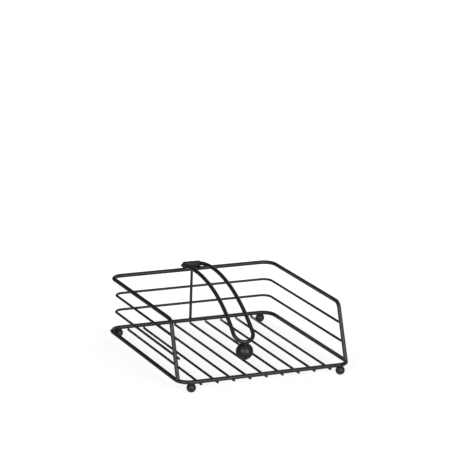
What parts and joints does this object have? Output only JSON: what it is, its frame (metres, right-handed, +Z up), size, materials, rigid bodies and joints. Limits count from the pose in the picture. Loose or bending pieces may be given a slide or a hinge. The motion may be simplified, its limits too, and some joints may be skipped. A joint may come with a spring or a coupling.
{
  "type": "napkin holder",
  "caption": "Flat wire napkin holder: an open-fronted welded tray on ball feet, with a hinged wire arm whose ball rests on the napkins and holds them down.",
  "frame": {"origin": "on the table, under the middle of the tray", "axes": "+X to the right, the open front towards -Y, +Z up"},
  "size_m": [0.1898, 0.195, 0.0756],
  "materials": {
    "black_powder_coat": "satin"
  },
  "bodies": {
    "tray": {"base_ring": "black_powder_coat", "rim_wire": "black_powder_coat", "upper_side_wire": "black_powder_coat", "lower_side_wire": "black_powder_coat", "back_post": "black_powder_coat", "slat_1": "black_powder_coat", "slat_2": "black_powder_coat", "slat_3": "black_powder_coat", "slat_4": "black_powder_coat", "slat_5": "black_powder_coat", "slat_6": "black_powder_coat", "slat_7": "black_powder_coat", "slat_8": "black_powder_coat", "slat_9": "black_powder_coat", "foot_front_left": "black_powder_coat", "foot_front_right": "black_powder_coat", "foot_rear_left": "black_powder_coat", "foot_rear_right": "black_powder_coat", "hinge_clip": "black_powder_coat"},
    "arm": {"arm_wire": "black_powder_coat", "weight_ball": "black_powder_coat"}
  },
  "joints": [
    {"name": "arm_hinge", "type": "hinge", "parent": "tray", "child": "arm", "pos_m": [0, 0.0931, 0.07093], "axis": [-1, 0, 0], "range_deg": [0, 205]}
  ]
}
